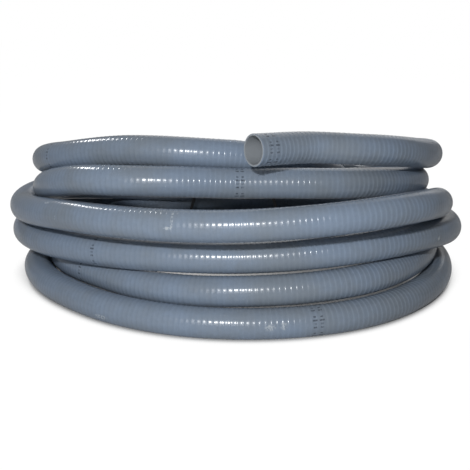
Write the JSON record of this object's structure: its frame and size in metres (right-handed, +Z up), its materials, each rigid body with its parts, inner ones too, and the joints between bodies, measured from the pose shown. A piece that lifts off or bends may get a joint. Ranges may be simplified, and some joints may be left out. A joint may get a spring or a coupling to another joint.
{
  "type": "hose",
  "caption": "Loose standing coil of flexible ribbed PVC waste hose with a rigid spiral in its wall, tied at the back, both ends cut square and bare.",
  "frame": {"origin": "on the floor, under the middle of the hose coil's box", "axes": "+Z up; the front of the coil, with the free cut end on top, faces -Y; +X to the right seen from the front"},
  "size_m": [1.0082, 0.8952, 0.3705],
  "materials": {
    "soft_pvc": "glossy blue-grey flexible PVC with fine ring ribs",
    "soft_pvc_bore": "smooth grey flexible PVC",
    "rigid_pvc": "off-white rigid PVC",
    "tie_nylon": "black nylon"
  },
  "bodies": {
    "root": {"hose_cover": "soft_pvc", "hose_liner": "soft_pvc_bore", "reinforcing_spiral": "rigid_pvc", "tie_back_right": "tie_nylon", "tie_back_left": "tie_nylon"}
  },
  "joints": []
}
